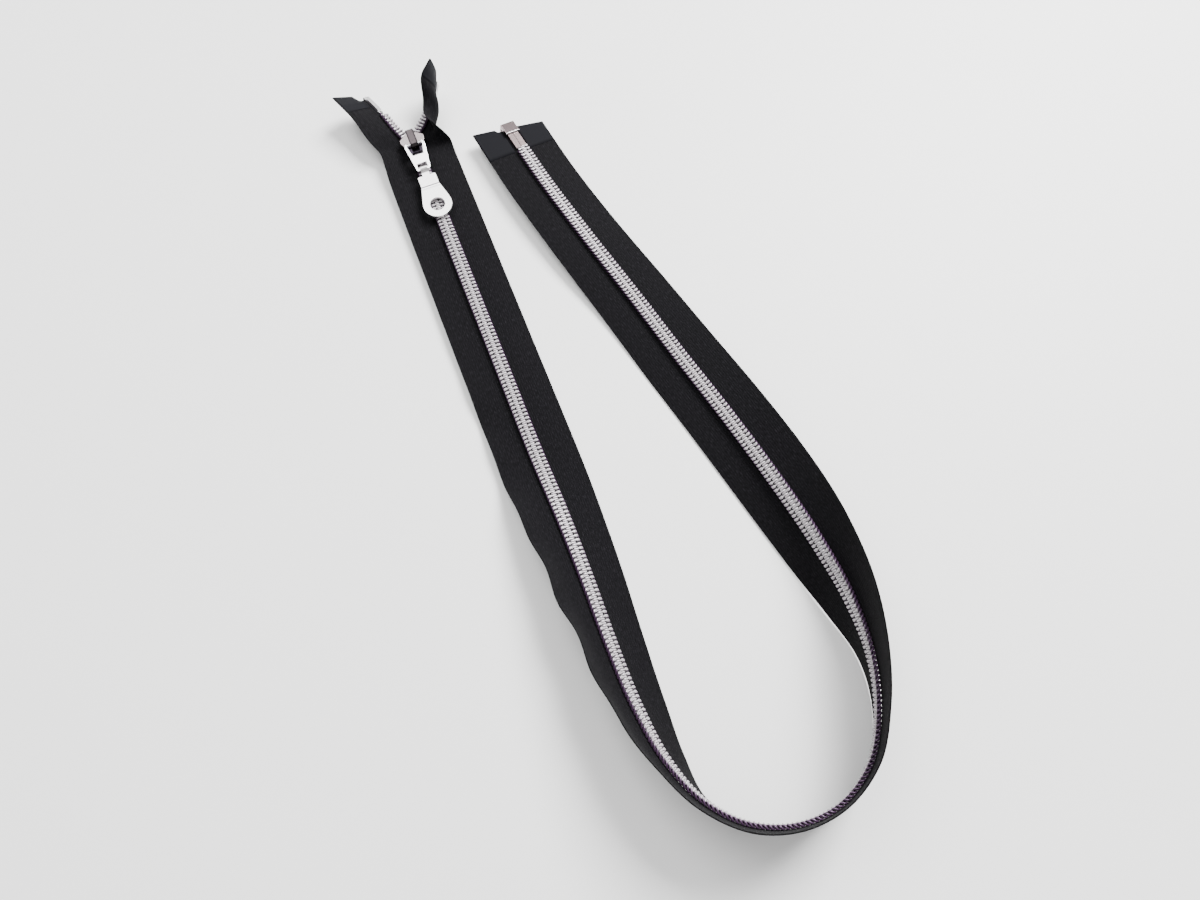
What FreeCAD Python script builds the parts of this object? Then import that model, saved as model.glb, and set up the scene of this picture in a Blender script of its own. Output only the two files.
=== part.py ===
"""Separating coil zipper, lying in a U on a table with its pull at the top of the left leg.

Frame, in millimetres: +Z up, the table is Z = 0, the origin is at the middle of the zipper's
footprint, and +Y runs along the left leg, the way the slider travels to close the chain.
"""

import FreeCAD, Part
import Sketcher

import math
import os
import re

V = FreeCAD.Vector

# ---------------------------------------------------------------- driving dimensions, in mm
SIZES = {
    # woven tapes
    "tape_half_width": 16.0,     # from the middle of the chain to the selvage
    "tape_edge": 1.0,            # inner edge of each tape, from the middle of the chain
    "tape_thick": 0.5,
    "stiff_half_width": 5.6,     # the band beside the chain that stays flat across
    "box_end_slant": 0.16,       # how far the cut at the box end runs along, per width
    # coils with their cords and sewing threads
    "coil_inner": 0.06,
    "coil_outer": 3.1,
    "coil_low": 0.35,            # heights are from the tape's middle surface
    "coil_high": 2.3,
    "coil_wall": 0.43,
    "coil_slit": 0.3,            # along the side that faces the tape
    "cord_radius": 0.42,
    "thread_wide": 0.3,
    "thread_high": 0.12,
    "thread_near": 0.95,         # the two rows of stitches along each coil
    "thread_far": 1.65,
    # end pieces on the tapes
    "layer_gap": 0.05,
    "end_gap": 0.1,
    "pin_long": 12.4,
    "pin_wide": 2.45,
    "pin_low": 0.95,
    "pin_high": 1.55,
    "stop_back": 3.0,            # how far each top stop sits from the end of its tape
    "stop_long": 9.0,
    "stop_wide": 2.1,
    "film_thick": 0.15,
    "film_inner": 3.5,
    "film_bottom_long": 14.0,
    "film_top_long": 9.0,
    # retainer box
    "box_half_wide": 3.2,
    "box_long": 5.5,
    "box_low": 1.65,
    "box_high": 2.35,
    "box_wall": 0.6,
    "box_past_end": 1.3,
    "box_end_gap": 0.6,          # between the tape's cut end and the inside of the box
    "box_slit": 0.42,            # half height of the slit that each tape leaves by
    # slider body
    "body_half_long": 5.3,
    "tail_half_wide": 4.3,
    "shoulder_half_wide": 5.5,
    "waist": 1.6,                # where the body starts to widen, behind its middle
    "shoulder_near": 1.2,        # where it is widest, ahead of its middle
    "shoulder_far": 2.8,
    "nose_half_wide": 3.2,
    "nose_far": 4.5,
    "floor_thick": 1.2,
    "channel_high": 3.3,
    "roof_thick": 1.0,
    "wall_drop": 2.0,            # how far the side walls hang from the roof
    "wall_tail": 0.8,
    "wall_mouth": 0.62,
    "wedge_near": 1.2,
    "wedge_wide_at": 4.3,
    "wedge_half_wide": 0.8,
    "overlap": 0.2,              # how far joined features of one piece run into each other
    # crown over the slider; heights are from the top of the slider's roof
    "crown_lift": 0.05,
    "crown_back": 3.7,
    "crown_front": 5.5,
    "crown_half_wide": 1.7,
    "crown_high": 2.9,
    "crown_bevel": 0.9,
    "crown_wall": 0.7,
    "crown_roof": 0.55,
    # locking leaf inside the crown
    "leaf_hinge_at": 4.3,
    "leaf_hinge_radius": 0.25,
    "leaf_hinge_half": 1.5,
    "leaf_clearance": 0.07,
    "leaf_back": 2.7,
    "leaf_half_wide": 0.7,
    "leaf_low": 1.58,
    "leaf_half_thick": 0.15,
    "lock_far": 0.6,             # the leaf's pin, behind the middle of the slider
    "lock_near": 0.0,
    "lock_half_wide": 0.6,
    "lock_below_roof": 1.3,
    "lock_margin": 0.3,
    # puller
    "bar_radius": 0.5,
    "bar_clearance": 0.08,
    "bar_above_roof": 1.0,
    "bar_back": 1.8,
    "cam_reach": 0.68,
    "cam_half_thick": 0.2,
    "link_half_thick": 0.55,
    "link_long": 13.1,           # from the bar in the crown to the bar in the pull tab
    "link_half_top": 4.6,
    "link_half_low": 3.1,
    "slot_half_top": 3.4,
    "slot_half_low": 2.4,
    "slot_far": 5.9,
    "eye_half_wide": 2.2,
    "eye_near": 10.2,
    "eye_bar": 0.5,              # half the length of the bar below the eye
    "hook_inner": 0.82,
    "hook_outer": 1.4,
    "hook_half_wide": 1.6,
    "tab_drop": 0.6,             # the tab's middle surface below the hook's axis
    "neck_half_thick": 0.45,
    "tab_half_thick": 0.7,
    "grip_half_thick": 0.9,
    "grip_near": 3.6,
    "grip_far": 8.9,
    "grip_half_wide": 3.9,
    "ring_at": 18.6,
    "ring_radius": 6.1,
    "ring_hole": 3.2,
}

SLIDER_AT = V(-36, 140.8, 0.05)  # middle of the slider's flat underside
FLAT_HEIGHT = 1.8                # height of the tape where it runs level through the slider
TABLE_GAP = 0.5                  # the tape's middle surface above the table where it lies on it
SPAN_STEPS = 3                   # straight lengths between two stations of the route
EASING = 11.0                    # length over which a tape eases round a bend
LINK_PITCH = 3.0                 # degrees that the link slopes down at rest

# ---------------------------------------------------------------- the route of the chain
# Stations from the box end, round the bend, to the slider:
# x, y, roll of the chain, and how much more each tape curls up beside it (mm and degrees).
CHAIN = [
    (5, 134, -10, 0, -2),
    (10, 103, -10, -2, -4),
    (17, 71, -8, -3, -6),
    (25, 39, -2, -2, -6),
    (32, 7, 6, 1, -2),
    (38.5, -23, 14, 4, 0),
    (44, -53, 26, 7, 3),
    (48, -83, 45, 12, 8),
    (49, -107, 66, 12, 5),
    (47, -126, 84, 7, -2),
    (41, -144, 94, 4, -4),
    (30, -160, 98, 2, -4),
    (14, -168.5, 98, 1, -4),
    (-3, -168.5, 94, 0, -3),
    (-17.5, -162, 88, 1, -1),
    (-28.5, -150, 81, 6, 4),
    (-34.8, -134, 67, 20, 16),
    (-37.3, -114, 52, 26, 20),
    (-37.4, -89, 40, 26, 18),
    (-36.5, -64, 29, 24, 12),
    (-36, -39, 17, 16, 2),
    (-36, -11, 0, 10, -8),
    (-36, 21, 0, 8, -9),
    (-36, 61, 0, 9, -9),
    (-36, 101, 0, 11, -9),
    (-36, 128, 0, 22, -9),
    (-36, 135, 0, 32, -7),
]
# The open ends beyond the slider: x, y, z, rise of the coil and rise of the tape, outwards.
LEFT_END = [
    (-36.35, 141.2, 1.8, 0, 38),
    (-37.35, 145.8, 1.8, 4, 36),
    (-41, 152.5, 2.4, 30, 20),
    (-43.6, 160.5, 3.4, 34, 26),
    (-48.9, 173.6, 4.4, 32, 32),
]
RIGHT_END = [
    (-35.65, 141.2, 1.8, 0, 16),
    (-34.65, 145.8, 1.8, 2, 40),
    (-29.8, 151, 2.2, 8, 140),
    (-25, 155.6, 2.6, 26, 182),
    (-20, 160.8, 3.2, 74, 140),
    (-15.5, 169.2, 4.2, 88, 94),
]
LEFT, RIGHT = -1, 1
# How much of the tape's own curl is reached at each width, as a share.
CURL = [("stiff_half_width", 0.0), (8.0, 0.45), (11.0, 0.85), ("tape_half_width", 1.0)]


# ---------------------------------------------------------------- document and sizes sheet
doc = FreeCAD.newDocument("zipper")
sheet = doc.addObject("Spreadsheet::Sheet", "sizes")
for row, (alias, number) in enumerate(SIZES.items(), start=1):
    sheet.set(f"A{row}", alias)
    sheet.set(f"B{row}", str(number))
    sheet.setAlias(f"B{row}", alias)
doc.recompute()

TERM = re.compile(r"([+-]?)\s*([A-Za-z_][A-Za-z_0-9]*|[0-9.]+)")


def size(name):
    return float(getattr(sheet, name))


def total(text):
    """The number that a sum such as '-waist + 0.5' of the sheet's sizes comes to."""
    result = 0.0
    for sign, word in TERM.findall(text):
        number = float(word) if word[0].isdigit() else size(word)
        result += -number if sign == "-" else number
    return result


def formula(text):
    """The same sum as an expression that reads the sheet."""
    return " ".join(
        f"{sign or '+'} {word if word[0].isdigit() else 'sizes.' + word}"
        for sign, word in TERM.findall(text)
    ).lstrip("+ ")


def bind(target, field, text):
    target.setExpression(field, formula(text))


# ---------------------------------------------------------------- ribbons along the route
def across(coil_rise, tape_rise, width):
    """How far out and up a tape is at a width, and its slope there, for rises in degrees."""
    out = up = slope = start = share = 0.0
    for limit, next_share in CURL:
        limit = size(limit) if isinstance(limit, str) else limit
        end = min(width, limit)
        if end > start or start == 0.0:
            rise = coil_rise + (tape_rise - coil_rise) * (share + next_share) / 2
            slope = math.radians(rise)
            out += (end - start) * math.cos(slope)
            up += (end - start) * math.sin(slope)
            start, share = end, next_share
        if end >= width:
            break
    return out, up, slope


def side_stations(side):
    """x, y, z, coil rise and tape rise of one tape, from the box end to its open end."""
    edge = size("tape_half_width")
    rows = []
    for x, y, roll, left_curl, right_curl in CHAIN:
        drops = (across(-roll, right_curl - roll, edge)[1], across(roll, roll + left_curl, edge)[1])
        z = max(FLAT_HEIGHT, TABLE_GAP - min(drops))
        if side == LEFT:
            rows.append((x, y, z, roll, roll + left_curl))
        else:
            rows.append((x, y, z, -roll, right_curl - roll))
    return rows + (LEFT_END if side == LEFT else RIGHT_END)


def smooth(rows):
    """Rows between the stations on a smooth curve, each with its direction of travel."""
    count = len(rows[0])
    at = [0.0]
    for a, b in zip(rows, rows[1:]):
        at.append(at[-1] + math.dist(a[:3], b[:3]))
    chord = [
        [(b[k] - a[k]) / (t1 - t0) for k in range(count)]
        for a, b, t0, t1 in zip(rows, rows[1:], at, at[1:])
    ]
    slope = [chord[0]]
    for before, after, t0, t1, t2 in zip(chord, chord[1:], at, at[1:], at[2:]):
        share = (t1 - t0) / (t2 - t0)
        slope.append([p * (1 - share) + q * share for p, q in zip(before, after)])
    slope.append(chord[-1])
    found = []
    for i in range(len(rows) - 1):
        long = at[i + 1] - at[i]
        for step in range(SPAN_STEPS + (i == len(rows) - 2)):
            t = step / SPAN_STEPS
            b0, b1 = 2 * t**3 - 3 * t**2 + 1, -2 * t**3 + 3 * t**2
            c0, c1 = (t**3 - 2 * t**2 + t) * long, (t**3 - t**2) * long
            d0, e0, e1 = (6 * t * t - 6 * t) / long, 3 * t * t - 4 * t + 1, 3 * t * t - 2 * t
            a, b, m, n = rows[i], rows[i + 1], slope[i], slope[i + 1]
            place = [b0 * a[k] + b1 * b[k] + c0 * m[k] + c1 * n[k] for k in range(count)]
            travel = [d0 * (a[k] - b[k]) + e0 * m[k] + e1 * n[k] for k in range(3)]
            found.append((place, V(*travel).normalize()))
    return found


class Ribbon:
    """One side of the zipper: a strip that turns a (width, height) point into a place."""

    def __init__(self, side):
        self.side = side
        rows = smooth(side_stations(side))
        self.at = [0.0]
        for (a, _), (b, _) in zip(rows, rows[1:]):
            self.at.append(self.at[-1] + math.dist(a[:3], b[:3]))
        self.long = self.at[-1]
        self.rows = [(place, self.heading(rows, s)) for (place, _), s in zip(rows, self.at)]

    def heading(self, rows, along):
        """Direction of travel, eased over the length either side as stiff cloth does."""
        mean = V(0, 0, 0)
        for (_, travel), s in zip(rows, self.at):
            mean += travel * max(0.0, 1 - abs(s - along) / EASING)
        return mean.normalize()

    def row(self, along):
        """The station, between two rows, that lies this far along."""
        i = max(k for k in range(len(self.at) - 1) if self.at[k] <= along + 1e-9)
        share = (along - self.at[i]) / (self.at[i + 1] - self.at[i])
        (a, ta), (b, tb) = self.rows[i], self.rows[i + 1]
        mixed = [p + (q - p) * share for p, q in zip(a, b)]
        return mixed, (ta * (1 - share) + tb * share).normalize()

    def axes(self, travel):
        """Outwards across the strip and up from it."""
        out = V(travel.y, -travel.x, 0).normalize() * self.side
        up = out.cross(travel) * self.side
        return out, up

    def point(self, row, width, height):
        place, travel = row
        out_axis, up_axis = self.axes(travel)
        out, up, slope = across(place[3], place[4], max(width, 0.0))
        out += min(width, 0.0) - height * math.sin(slope)
        up += height * math.cos(slope)
        return V(*place[:3]) + out_axis * out + up_axis * up

    def cuts(self, start, end):
        inner = [s for s in self.at if start + 0.5 < s < end - 0.5]
        return [self.row(s) for s in [start, *inner, end]]

    def bar(self, section, start, end, slant=0.0):
        """A closed bar of straight-ruled faces with this (width, height) section."""
        rows = self.cuts(start, end)
        rings = [[self.point(row, w, n) for w, n in section] for row in rows]
        place, travel = rows[0]
        at, out = V(*place[:3]), self.axes(travel)[0]
        cut = travel * (-slant * self.side)
        rings[0] = [corner + cut * (corner - at).dot(out) for corner in rings[0]]
        return ruled_solid(rings)


def closed_wire(ring):
    return Part.makePolygon([*ring, ring[0]])


def ruled_faces(rings):
    """The walls of a bar through the rings, straight from each ring to the next."""
    return Part.makeLoft([closed_wire(ring) for ring in rings], False, True).Faces


def ruled_solid(rings):
    ends = [Part.Face(closed_wire(ring)) for ring in (rings[0], rings[-1])]
    return closed_solid(ruled_faces(rings) + ends)


def closed_solid(faces):
    shell = Part.makeShell(faces)
    shell.sewShape()
    solid = Part.makeSolid(shell)
    if solid.Volume < 0:
        solid.reverse()
    return solid


def flat_strip(inner, outer, low, high):
    """Section of a layer that follows the tape's curl from one width to another."""
    bends = [size(w) if isinstance(w, str) else w for w, _ in CURL]
    widths = [inner, *[w for w in bends if inner + 0.3 < w < outer - 0.3], outer]
    return [(w, low) for w in widths] + [(w, high) for w in reversed(widths)]


def rectangle(inner, outer, low, high):
    return [(inner, low), (outer, low), (outer, high), (inner, high)]


def add_feature(name, shape, placement=None):
    """A sub-part whose shape follows the route, so no standard feature makes it."""
    feature = doc.addObject("Part::Feature", name)
    feature.Label = name
    feature.Shape = shape
    feature.Placement = placement or FreeCAD.Placement()
    return feature


def add_soft_side(name, ribbon):
    """Tape, coil, core cord, sewing threads and end films of one side."""
    half, gap = size("tape_thick") / 2, size("layer_gap")
    slant = size("box_end_slant")
    section = flat_strip(size("tape_edge"), size("tape_half_width"), -half, half)
    add_feature(f"{name}_tape", ribbon.bar(section, 0.0, ribbon.long, slant))

    start = size("pin_long") + size("end_gap")
    end = ribbon.long - size("stop_back") - size("stop_long") - size("end_gap")
    low, high = size("coil_low"), size("coil_high")
    inner, outer, wall = size("coil_inner"), size("coil_outer"), size("coil_wall")
    centre, slit = (inner + outer) / 2, size("coil_slit") / 2
    section = [
        (centre + slit, low), (outer - wall, low), (outer, low + wall), (outer, high - wall),
        (outer - wall, high), (inner, high), (inner, low), (centre - slit, low),
        (centre - slit, low + wall), (inner + wall, low + wall), (inner + wall, high - wall),
        (outer - wall, high - wall), (outer - wall, low + wall), (centre + slit, low + wall),
    ]
    add_feature(f"{name}_coil", ribbon.bar(section, start, end))

    middle, radius = (low + high) / 2, size("cord_radius")
    angles = [math.radians(a) for a in range(0, 360, 60)]
    ring = [(centre + radius * math.cos(a), middle + radius * math.sin(a)) for a in angles]
    add_feature(f"{name}_core_cord", ribbon.bar(ring, start, end))

    base, wide = high + gap, size("thread_wide")
    rows = [
        ribbon.bar(rectangle(w, w + wide, base, base + size("thread_high")), start, end)
        for w in (size("thread_near"), size("thread_far"))
    ]
    add_feature(f"{name}_sewing_threads", Part.makeCompound(rows))

    near, far = half + gap, half + gap + size("film_thick")
    faces = [
        flat_strip(size("film_inner"), size("tape_half_width"), low, high)
        for low, high in ((near, far), (-far, -near))
    ]
    top = ribbon.long - size("film_top_long")
    spans = (("bottom", 0.0, size("film_bottom_long"), slant), ("top", top, ribbon.long, 0.0))
    for where, *span in spans:
        films = [ribbon.bar(face, *span) for face in faces]
        add_feature(f"{name}_{where}_film", Part.makeCompound(films))


def clip_section(inner, outer):
    """A U that grips the tape's inner edge, open outwards."""
    low, high = size("pin_low"), size("pin_high")
    slot = size("tape_thick") / 2 + size("layer_gap")
    root = size("tape_edge") - size("layer_gap")
    return [
        (inner, -low), (outer, -low), (outer, -slot), (root, -slot),
        (root, slot), (outer, slot), (outer, high), (inner, high),
    ]


def add_end_clips(name, ribbon, pin_name):
    """The pin at the box end of a tape and the stop at its open end."""
    pin = clip_section(size("coil_inner") * 2, size("pin_wide"))
    add_feature(pin_name, ribbon.bar(pin, 0.0, size("pin_long")))
    end = ribbon.long - size("stop_back")
    stop = clip_section(0.0, size("stop_wide"))
    add_feature(f"{name}_top_stop", ribbon.bar(stop, end - size("stop_long"), end))


# ---------------------------------------------------------------- solid pieces from sketches
def body(name):
    made = doc.addObject("PartDesign::Body", name)
    made.Label = name
    return made


def sketch(owner, name, role="XY_Plane", offset="0"):
    """An empty sketch on one of the body's own planes, moved out by a sum of sizes."""
    made = owner.newObject("Sketcher::SketchObject", name)
    origin_plane = next(f for f in owner.Origin.OriginFeatures if f.Role == role)
    made.AttachmentSupport = [(origin_plane, "")]
    made.MapMode = "FlatFace"
    bind(made, "AttachmentOffset.Base.z", offset)
    return made


def hold_point(made, geometry, end, x, y):
    """Holds one end of a sketch line, or a circle's centre, at sums of sizes."""
    for kind, text in (("DistanceX", x), ("DistanceY", y)):
        held = made.addConstraint(Sketcher.Constraint(kind, -1, 1, geometry, end, total(text)))
        bind(made, f"Constraints[{held}]", text)


def add_outline(made, corners):
    """A closed outline of straight edges with each corner held by sums of sizes."""
    points = [V(total(x), total(y), 0) for x, y in corners]
    first = made.GeometryCount
    for k, start in enumerate(points):
        made.addGeometry(Part.LineSegment(start, points[(k + 1) % len(points)]), False)
    for k in range(len(points)):
        following = first + (k + 1) % len(points)
        made.addConstraint(Sketcher.Constraint("Coincident", first + k, 2, following, 1))
        hold_point(made, first + k, 1, *corners[k])


def add_box(made, left, right, low, high):
    add_outline(made, [(left, low), (right, low), (right, high), (left, high)])


def add_circle(made, x, y, radius):
    middle = V(total(x), total(y), 0)
    index = made.addGeometry(Part.Circle(middle, V(0, 0, 1), total(radius)), False)
    hold_point(made, index, 3, x, y)
    held = made.addConstraint(Sketcher.Constraint("Radius", index, total(radius)))
    bind(made, f"Constraints[{held}]", radius)


def minus(text):
    """The same sum with every sign turned round."""
    terms = TERM.findall(text)
    return " ".join(f"{'+' if sign == '-' else '-'} {word}" for sign, word in terms)


def both_sides(corners):
    """The right half of an outline, from its lowest corner up, closed by its mirror image."""
    return corners + [(minus(x), y) for x, y in reversed(corners)]


def pad(owner, made, length, midplane=False):
    feature = owner.newObject("PartDesign::Pad", "pad")
    feature.Profile = made
    bind(feature, "Length", length)
    feature.Midplane = midplane
    doc.recompute()


def pocket(owner, made, length, midplane=False, forward=False):
    """A pocket that has to take something away."""
    doc.recompute()
    before = owner.Shape.Volume
    feature = owner.newObject("PartDesign::Pocket", "pocket")
    feature.Profile = made
    bind(feature, "Length", length)
    feature.Midplane = midplane
    feature.Reversed = forward
    doc.recompute()
    if not owner.Shape.Volume < before - 0.01:
        raise RuntimeError(f"pocket {made.Label} of {owner.Label} cut nothing")


def round_edges(owner, radius, wanted):
    """Rounds the edges whose middle point the test accepts."""
    base = owner.Tip
    names = [
        f"Edge{k}"
        for k, edge in enumerate(base.Shape.Edges, start=1)
        if wanted(edge.valueAt((edge.FirstParameter + edge.LastParameter) / 2))
    ]
    feature = owner.newObject("PartDesign::Fillet", "fillet")
    feature.Base = (base, names)
    feature.Radius = radius
    doc.recompute()


def place(owner, at, rotation=None):
    owner.Placement = FreeCAD.Placement(at, rotation or FreeCAD.Rotation())


def add_slider_body():
    """Floor, wedge and roof with hanging side walls: a Y-shaped channel for the coils."""
    made = body("slider_body")
    plate = both_sides([
        ("tail_half_wide", "-body_half_long"),
        ("tail_half_wide", "-waist"),
        ("shoulder_half_wide", "shoulder_near"),
        ("shoulder_half_wide", "shoulder_far"),
        ("nose_half_wide", "nose_far"),
        ("crown_half_wide", "body_half_long"),
    ])
    floor = sketch(made, "floor_outline")
    add_outline(floor, plate)
    pad(made, floor, "floor_thick")

    wedge = sketch(made, "wedge_outline", offset="floor_thick - overlap")
    add_outline(wedge, [
        ("0", "wedge_near"), ("wedge_half_wide", "wedge_wide_at"),
        ("0", "body_half_long"), ("-wedge_half_wide", "wedge_wide_at"),
    ])
    pad(made, wedge, "channel_high + overlap + overlap")

    roof = sketch(made, "roof_outline", offset="floor_thick + channel_high")
    add_outline(roof, plate)
    pad(made, roof, "roof_thick")

    wall = [
        *plate[:4],
        ("shoulder_half_wide - wall_mouth", "shoulder_far"),
        ("shoulder_half_wide - wall_mouth", "shoulder_near"),
        ("tail_half_wide - wall_tail", "-waist"),
        ("tail_half_wide - wall_tail", "-body_half_long"),
    ]
    for name, corners in (("right_wall", wall), ("left_wall", [(minus(x), y) for x, y in wall])):
        outline = sketch(made, name, offset="floor_thick + channel_high - wall_drop")
        add_outline(outline, corners)
        pad(made, outline, "wall_drop + overlap")

    hole = sketch(made, "lock_hole", offset="floor_thick + channel_high - overlap")
    side = "lock_half_wide + lock_margin"
    add_box(hole, minus(side), side, "-lock_far - lock_margin", "-lock_near + lock_margin")
    pocket(made, hole, "roof_thick + overlap + overlap", forward=True)

    top, crown = total("floor_thick + channel_high + roof_thick"), size("crown_half_wide")
    round_edges(made, 0.35, lambda at: abs(at.z - top) < 0.01 and abs(at.x) > crown)
    place(made, SLIDER_AT)


def roof_place():
    return SLIDER_AT + V(0, 0, total("floor_thick + channel_high + roof_thick"))


def add_crown():
    """The hollow bridge over the slider that holds the link's bar and covers the lock."""
    made = body("slider_crown")
    side = sketch(made, "crown_side", role="YZ_Plane")
    add_outline(side, [
        ("-crown_back", "crown_lift"),
        ("crown_front", "crown_lift"),
        ("crown_front", "crown_high - crown_bevel"),
        ("crown_front - crown_bevel", "crown_high"),
        ("-crown_back + crown_bevel", "crown_high"),
        ("-crown_back", "crown_high - crown_bevel"),
    ])
    pad(made, side, "crown_half_wide + crown_half_wide", midplane=True)
    near, far = "-crown_back + crown_wall", "crown_front - crown_wall"
    inside = sketch(made, "crown_inside", role="YZ_Plane")
    add_box(inside, near, far, "-overlap", "crown_high - crown_roof")
    pocket(made, inside, "crown_half_wide + crown_half_wide - crown_wall - crown_wall", midplane=True)
    through = "crown_half_wide + crown_half_wide + 1"
    notch = sketch(made, "bar_notch", role="YZ_Plane")
    reach = "bar_radius + bar_clearance"
    add_box(notch, f"-bar_back {minus(reach)}", f"-bar_back + {reach}", "-overlap", "bar_above_roof")
    pocket(made, notch, through, midplane=True)
    arch = sketch(made, "bar_arch", role="YZ_Plane")
    add_circle(arch, "-bar_back", "bar_above_roof", reach)
    pocket(made, arch, through, midplane=True)
    eyes = sketch(made, "leaf_eyes", role="YZ_Plane")
    add_circle(eyes, "leaf_hinge_at", "leaf_low + leaf_half_thick", "leaf_hinge_radius + leaf_clearance")
    pocket(made, eyes, through, midplane=True)
    low, half = total("crown_high - crown_bevel"), size("crown_half_wide")
    round_edges(made, 0.3, lambda at: abs(abs(at.x) - half) < 0.01 and at.z > low + 0.01)
    place(made, roof_place())


def add_lock_leaf():
    """Leaf hinged at the crown's front, over the link's bar, with a pin down to the chain."""
    made = body("lock_leaf")
    leaf = sketch(made, "leaf_side", role="YZ_Plane")
    top = "leaf_low + leaf_half_thick + leaf_half_thick"
    add_box(leaf, "-leaf_back", "leaf_hinge_at", "leaf_low", top)
    pad(made, leaf, "leaf_half_wide + leaf_half_wide", midplane=True)
    hinge = sketch(made, "leaf_hinge", role="YZ_Plane")
    add_circle(hinge, "leaf_hinge_at", "leaf_low + leaf_half_thick", "leaf_hinge_radius")
    pad(made, hinge, "leaf_hinge_half + leaf_hinge_half", midplane=True)
    pin = sketch(made, "lock_pin", role="YZ_Plane")
    add_box(pin, "-lock_far", "-lock_near", "-lock_below_roof", "leaf_low + leaf_half_thick")
    pad(made, pin, "lock_half_wide + lock_half_wide", midplane=True)
    place(made, roof_place())


def bar_place():
    """Middle of the bar that the link turns on, under the crown."""
    return roof_place() + V(0, -size("bar_back"), size("bar_above_roof"))


def hook_place():
    """Middle of the bar at the link's far end, which the pull tab turns on."""
    pitch = math.radians(LINK_PITCH)
    return bar_place() + V(0, -math.cos(pitch), -math.sin(pitch)) * size("link_long")


def add_link():
    """Tapered plate with a wide slot round the crown and a small eye for the pull tab."""
    made = body("puller_link")
    thick, low = "link_half_thick + link_half_thick", "-link_half_thick"
    outline = sketch(made, "link_outline", offset=low)
    add_outline(outline, both_sides([
        ("link_half_low - 0.5", "-link_long - eye_bar"),
        ("link_half_low", "-link_long"),
        ("link_half_top", "-bar_radius - 0.7"),
        ("link_half_top - 0.3", "bar_radius - 0.2"),
        ("slot_half_top + 0.2", "bar_radius + 0.3"),
        ("slot_half_top", "bar_radius + 0.3"),
        ("slot_half_top", "-bar_radius - 0.7"),
        ("slot_half_low", "-slot_far"),
    ]))
    pad(made, outline, thick)
    eye = sketch(made, "tab_eye", offset=low)
    add_box(eye, "-eye_half_wide", "eye_half_wide", "-link_long + eye_bar", "-eye_near")
    pocket(made, eye, thick, forward=True)
    bar = sketch(made, "bar_section", role="YZ_Plane")
    add_circle(bar, "0", "0", "bar_radius")
    pad(made, bar, "slot_half_top + slot_half_top + overlap + overlap", midplane=True)
    cam = sketch(made, "cam_section", role="YZ_Plane")
    add_box(cam, "-cam_reach", "0", "-cam_half_thick", "cam_half_thick")
    pad(made, cam, "leaf_half_wide + leaf_half_wide", midplane=True)
    top, inner = size("link_half_thick"), size("slot_half_top")
    round_edges(made, 0.25, lambda at: abs(abs(at.z) - top) < 0.01 and abs(at.x) > inner + 0.4)
    place(made, bar_place(), FreeCAD.Rotation(V(1, 0, 0), LINK_PITCH))


def add_pull_tab():
    """Tab that loops round the link's lower bar and widens to a ring."""
    made = body("pull_tab")
    loop = sketch(made, "loop_outside", role="YZ_Plane")
    add_circle(loop, "0", "0", "hook_outer")
    add_circle(loop, "0", "0", "hook_inner")
    pad(made, loop, "hook_half_wide + hook_half_wide", midplane=True)
    neck = sketch(made, "neck_side", role="YZ_Plane")
    add_box(neck, "-grip_near - 0.5", "-hook_outer + 0.3",
            "-tab_drop - neck_half_thick", "-tab_drop + neck_half_thick")
    pad(made, neck, "hook_half_wide + hook_half_wide", midplane=True)
    grip = sketch(made, "grip_outline", offset="-tab_drop - tab_half_thick")
    add_outline(grip, both_sides([
        ("grip_half_wide", "-grip_far"),
        ("grip_half_wide", "-grip_near - 0.4"),
        ("grip_half_wide - 0.4", "-grip_near"),
    ]))
    pad(made, grip, "tab_half_thick + grip_half_thick")
    flare = sketch(made, "flare_outline", offset="-tab_drop - tab_half_thick")
    add_outline(flare, both_sides([
        ("ring_radius", "-ring_at"),
        ("ring_radius - 0.3", "-ring_at + 2.4"),
        ("grip_half_wide", "-grip_far + 0.2"),
    ]))
    pad(made, flare, "tab_half_thick + tab_half_thick")
    ring = sketch(made, "ring_outline", offset="-tab_drop - tab_half_thick")
    add_circle(ring, "0", "-ring_at", "ring_radius")
    pad(made, ring, "tab_half_thick + tab_half_thick")
    hole = sketch(made, "ring_hole", offset="-tab_drop - tab_half_thick")
    add_circle(hole, "0", "-ring_at", "ring_hole")
    pocket(made, hole, "tab_half_thick + tab_half_thick", forward=True)
    place(made, hook_place())


def add_retainer_box(ribbon):
    """Box, open towards the chain, that both pins sit in, with a slit each side for a tape."""
    made = body("retainer_box")
    outline = sketch(made, "box_outline", offset="-box_low")
    add_box(outline, "-box_half_wide", "box_half_wide", "box_past_end - box_long", "box_past_end")
    pad(made, outline, "box_low + box_high")
    inside = sketch(made, "box_inside", role="XZ_Plane", offset="-box_end_gap")
    side = "box_half_wide - box_wall"
    add_box(inside, minus(side), side, "-box_low + box_wall", "box_high - box_wall")
    pocket(made, inside, "box_long", forward=True)
    slits = sketch(made, "tape_slits", role="XZ_Plane", offset="-box_end_gap")
    across_box = "box_half_wide + overlap"
    add_box(slits, minus(across_box), across_box, "-box_slit", "box_slit")
    pocket(made, slits, "box_long", forward=True)
    high = size("box_high")
    round_edges(made, 0.3, lambda at: abs(at.z - high) < 0.01)
    start = ribbon.row(0.0)
    at, back = ribbon.point(start, 0.0, 0.0), -start[1]
    across_axis = ribbon.point(start, 1.0, 0.0) - at
    turn = FreeCAD.Rotation(across_axis * -ribbon.side, back, V(0, 0, 1), "XYZ")
    place(made, at, turn)


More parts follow.
